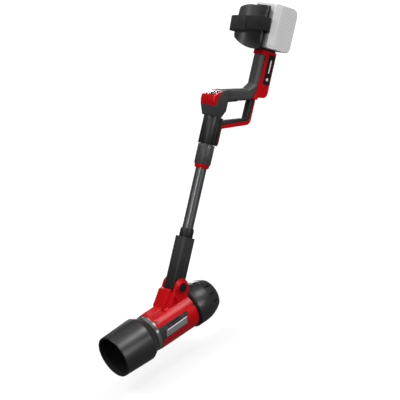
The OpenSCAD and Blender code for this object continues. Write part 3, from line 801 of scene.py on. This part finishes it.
def handle():
    """The over-moulded sleeve and the red casing, with softened edges."""
    sleeve = melt("grip_skin", [copied("grip_sleeve")], 1.0, 9, 0.6)
    flutes = [box_shape((-107.6, s - 1.5, 584), (-103, s + 1.5, 655), 1.3, 3)
              for s in (-11, -4, 3, 10)]
    cut(sleeve, *[thing("flute", flute, POLE) for flute in flutes])
    finish_piece(sleeve, sleeve_grip_painted_highlight, "handle", ("grip_sleeve",), 40)
    shells = melt("handle_casing", [copied("handle_shell_left"), copied("handle_shell_right")],
                  0.9, 4, 0.5)
    finish_piece(shells, red, "handle",
                 ("handle_shell_left", "handle_shell_right"), 40)
    dress("guard_liner", grip, 0.8)
    dress("head_housing", housing_black_painted_highlight, 0.6)
    dress("control_cap", red, 0.4)
    dress("control_pad", pad_gloss, 0.3)
    dress("control_board", board)
    dress("power_button", gloss, 0.5)
    dress("label_panels", gloss, 0.3)
    dress("handle_screws", dark_steel, 0.15)
    dress("trigger", grip, 0.8)
    dress("trigger_pin", steel)
    dress("trigger_switch", black, 0.2)
    low, length, travel = 529.2, 13, 6
    spring = thing("trigger_coil", coil((3.4, 3.4), length, 0.45, 5),
                   POLE @ Matrix.Translation((-64, 0, low)))
    finish_piece(spring, steel, "handle", ("trigger_spring",))
    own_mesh(spring)


def marks():
    """A plain pale stripe and a dot on each dark panel, in place of any lettering."""
    face = 19.35
    stripe = rounded([(-146, 618), (-141.4, 618), (-141.4, 654), (-146, 654)], 2.2)
    dot = arc((-143.6, 600), 4.2, 0, 345, 23)
    for side, sign in (("left", 1), ("right", -1)):
        for name, outline in (("stripe", stripe), ("dot", dot)):
            shape = prism(outline, *span(sign, face - 0.4, face + 0.12))
            made = thing(f"mark_{name}_{side}", shape, POLE)
            finish_piece(made, mark, "handle")


handle()
marks()


# ---------------------------------------------------------------- cuff and strap

STRAP_P, STRAP_W, STRAP_TILT = 735, 38, 5
CUFF_F, CUFF_BACK_R = -26.1, 62.8
ROUTE_STEPS = 260


def cuff():
    """The cuff with softened edges, and what joins it to the handle."""
    shell = melt("cuff_shell", [copied("arm_cuff")], 0.85, 4, 0.6)
    finish_piece(shell, cuff_black_painted_glow, "handle", ("arm_cuff",), 40)
    dress("cuff_screws", cuff_black_painted_glow, 0.15)
    dress("spine", black, 0.8)
    dress("battery_terminals", steel)


def strap_route(grow):
    """The strap's path in plan, (f, s) points at equal steps, grown outwards."""
    # The corners that the strap passes round, with their radii
    corners = [((-66, 50), 12.3), ((-49, -50), 10.5), ((-50, 44), 10.5)]
    points = []
    for centre, radius in corners:
        points += arc(centre, radius + grow, 0, 360, 96)
    for shift in (-1.8, 1.8):
        back = arc((CUFF_F, shift), CUFF_BACK_R + grow, 100, 260, 160)
        points += [q for q in back if q[0] < -62]
    hull = [Vector(points[i]) for i in convex_hull_2d(points)]
    lengths = [0]
    for i, here in enumerate(hull):
        lengths.append(lengths[-1] + (hull[(i + 1) % len(hull)] - here).length)
    route = []
    at = 0
    for k in range(ROUTE_STEPS):
        goal = lengths[-1] * k / ROUTE_STEPS
        while lengths[at + 1] < goal:
            at += 1
        part = (goal - lengths[at]) / max(lengths[at + 1] - lengths[at], 1e-9)
        route.append(hull[at].lerp(hull[(at + 1) % len(hull)], part))
    return route


def ribbon(route, thick, width, closed, wander):
    """Webbing along a plan route: a flat section with round edges, set on its edge.

    wander is how far the webbing drifts up and down, in millimetres.
    """
    made = bmesh.new()
    half_w, half_t = width / 2, thick / 2
    sides = 12
    turns = [math.tau * (i + 0.5) / sides for i in range(sides)]
    section = [(half_t * math.cos(a),
                math.copysign(half_w - half_t, math.sin(a)) + half_t * math.sin(a))
               for a in turns]
    rings = []
    count = len(route)
    for i, here in enumerate(route):
        before = route[i - 1] if closed or i else here
        after = route[(i + 1) % count] if closed or i + 1 < count else here
        along = (after - before).normalized()
        out = Vector((along.y, -along.x))
        drift = wander * math.sin(i * 0.11) + wander * 0.5 * math.sin(i * 0.29 + 1)
        rings.append([made.verts.new((here.x + out.x * o, here.y + out.y * o, h + drift))
                      for o, h in section])
    for i in range(count if closed else count - 1):
        first, second = rings[i], rings[(i + 1) % count]
        for j in range(len(section)):
            k = (j + 1) % len(section)
            made.faces.new((first[j], first[k], second[k], second[j]))
    if not closed:
        made.faces.new(rings[0])
        made.faces.new(list(reversed(rings[-1])))
    return made


def stitches(route, low, high, start, end):
    """Two rows of short stitches along a route, at every third step of it."""
    made = bmesh.new()
    for i in range(start, end, 3):
        here, after = route[i], route[i + 2]
        along = (after - here).normalized()
        out = Vector((along.y, -along.x))
        for h in (low, high):
            middle = (here + after) / 2 + out * 0.1
            size = Matrix.Diagonal(((after - here).length * 0.55, 0.7, 0.7, 1))
            turn = Matrix.Rotation(math.atan2(along.y, along.x), 4, "Z")
            place = Matrix.Translation((middle.x, middle.y, h)) @ turn @ size
            bmesh.ops.create_icosphere(made, subdivisions=1, radius=1, matrix=place)
    return made


def strap():
    """A closed band round the cuff, and its free end folded over the front."""
    tilt = Matrix.Rotation(math.radians(STRAP_TILT), 4, "X")
    tilted = POLE @ Matrix.Translation((0, 0, STRAP_P)) @ tilt
    band = thing("strap_band", ribbon(strap_route(1.25), 2.2, STRAP_W, True, 0.35), tilted)
    finish_piece(band, webbing, "handle", ("cuff_strap",), 60)
    route = strap_route(3.7)
    # The free end starts on the front, a little left of its middle, and runs round the far side
    front_start, far_end = (
        min(range(len(route)), key=lambda i: (route[i] - Vector(spot)).length)
        for spot in ((-38, 4), (-78, -52)))
    step = 1 if (far_end - front_start) % len(route) < len(route) / 2 else -1
    free = []
    i = front_start
    while i != far_end:
        free.append(route[i])
        i = (i + step) % len(route)
    if step < 0:
        free.reverse()
    flap = thing("strap_free_end", ribbon(free, 2.3, STRAP_W + 3, False, 0.3), tilted)
    finish_piece(flap, webbing_painted_light, "handle", (), 60)
    sewn = thing("strap_stitches", stitches(free, -16, 16, 2, len(free) - 3), tilted)
    finish_piece(sewn, thread, "handle", (), 60)


cuff()
strap()


# ---------------------------------------------------------------- battery

def battery():
    """A slide-on pack with rounded corners, flank ribs and a channel for the rail."""
    low, high = (-184, -39, 682), (-97, 39, 805)
    side = rounded([(low[0], low[2]), (high[0], low[2]), (high[0], high[2]), (low[0], high[2])],
                   [14, 6, 7, 17], 6)
    parts = [thing("body", prism(side, low[1], high[1], 7.5, 5), POLE)]
    for sign in (1, -1):
        for front, back in ((-100, -103.5), (-107, -114), (-118, -122)):
            band = rounded([(back, 690), (front, 690), (front, 797), (back, 797)], 1.6)
            parts.append(thing("flank_band", prism(band, *span(sign, 36, 40.3), 0.8), POLE))
    made = melt("battery_shell", parts, 1.3, 3, 0.5)
    under, rail_top = 600, 791
    channel = thing("channel", box_shape((-99, -14.6, under), (-90, 14.6, rail_top)), POLE)
    head = thing("channel_head", box_shape((-104, -20.6, under), (-98.9, 20.6, rail_top)), POLE)
    pocket = thing("pocket", box_shape((-151, -12, 799.5), (-125, 12, 830), 1.5, 2), POLE)
    slots = [thing("slot", box_shape((-131.5, s - 1.3, under), (-116.5, s + 1.3, 690)), POLE)
             for s in (-14, -5, 5, 14)]
    cut(made, channel, head, pocket, *slots)
    finish_piece(made, pale, "battery", ("battery_case",), 40)
    dress("battery_cells", cell)
    dress("battery_button", pale_plain, 0.6)


battery()
